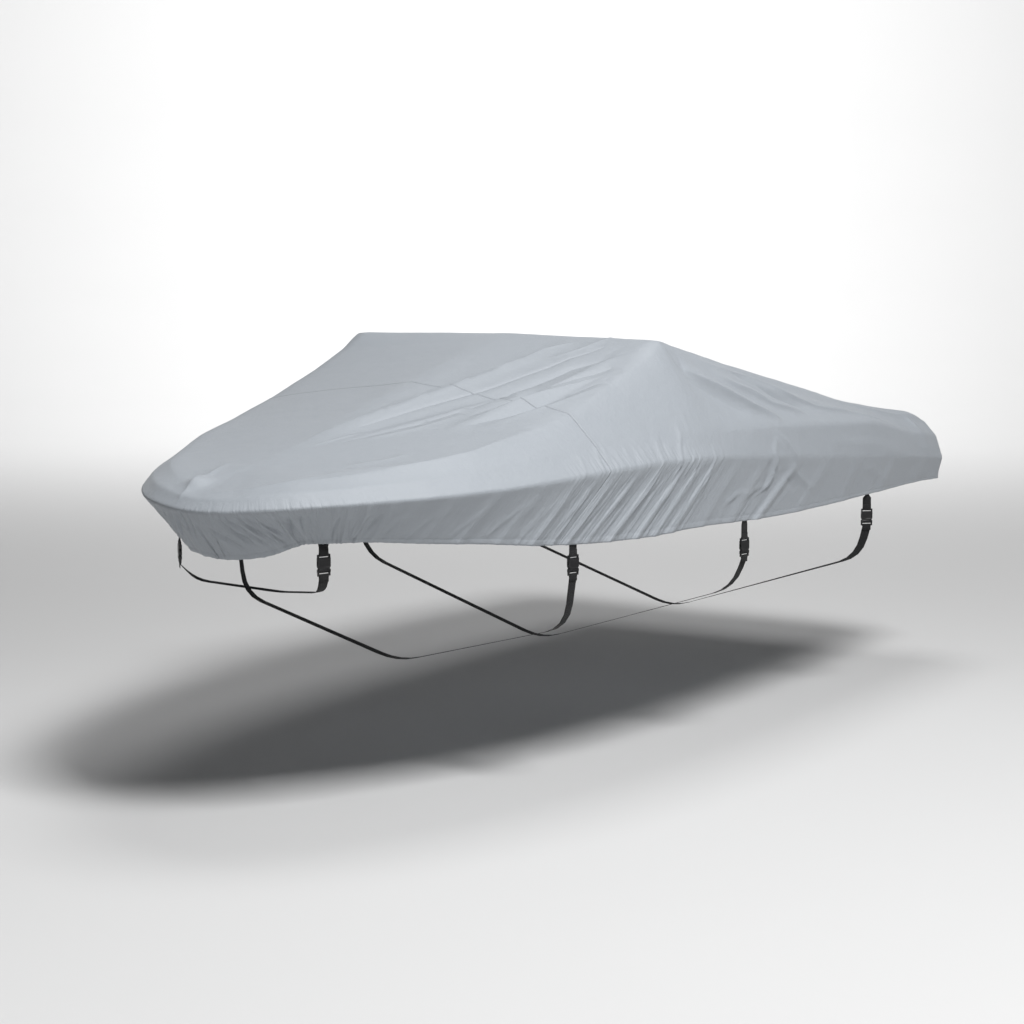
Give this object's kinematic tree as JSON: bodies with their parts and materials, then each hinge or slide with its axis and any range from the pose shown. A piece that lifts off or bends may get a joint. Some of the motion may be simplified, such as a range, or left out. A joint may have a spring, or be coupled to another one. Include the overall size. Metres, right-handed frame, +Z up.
{
  "type": "boat cover",
  "caption": "Fitted grey cloth boat cover with a gathered skirt, black webbing tabs, side-release buckles and straps that pass underneath",
  "frame": {"origin": "on the centre line, just under the highest line of the cloth, where the cover rests on what it covers", "axes": "+Z up, +Y towards the stern end, +X to port; the bow end points to -Y"},
  "size_m": [1.98, 4.345, 1.3086],
  "materials": {
    "cloth": "coated polyester cloth, light grey, slight sheen",
    "webbing": "black woven webbing",
    "buckle": "black moulded plastic"
  },
  "bodies": {
    "root": {"fore_panel": "cloth", "main_panel": "cloth", "tab_port_1": "webbing", "socket_port_1": "buckle", "plug_port_1": "buckle", "tab_starboard_1": "webbing", "socket_starboard_1": "buckle", "plug_starboard_1": "buckle", "belly_strap_1": "webbing", "tab_port_2": "webbing", "socket_port_2": "buckle", "plug_port_2": "buckle", "tab_starboard_2": "webbing", "socket_starboard_2": "buckle", "plug_starboard_2": "buckle", "belly_strap_2": "webbing", "tab_port_3": "webbing", "socket_port_3": "buckle", "plug_port_3": "buckle", "tab_starboard_3": "webbing", "socket_starboard_3": "buckle", "plug_starboard_3": "buckle", "belly_strap_3": "webbing", "tab_port_4": "webbing", "socket_port_4": "buckle", "plug_port_4": "buckle", "tab_starboard_4": "webbing", "socket_starboard_4": "buckle", "plug_starboard_4": "buckle", "belly_strap_4": "webbing"}
  },
  "joints": []
}
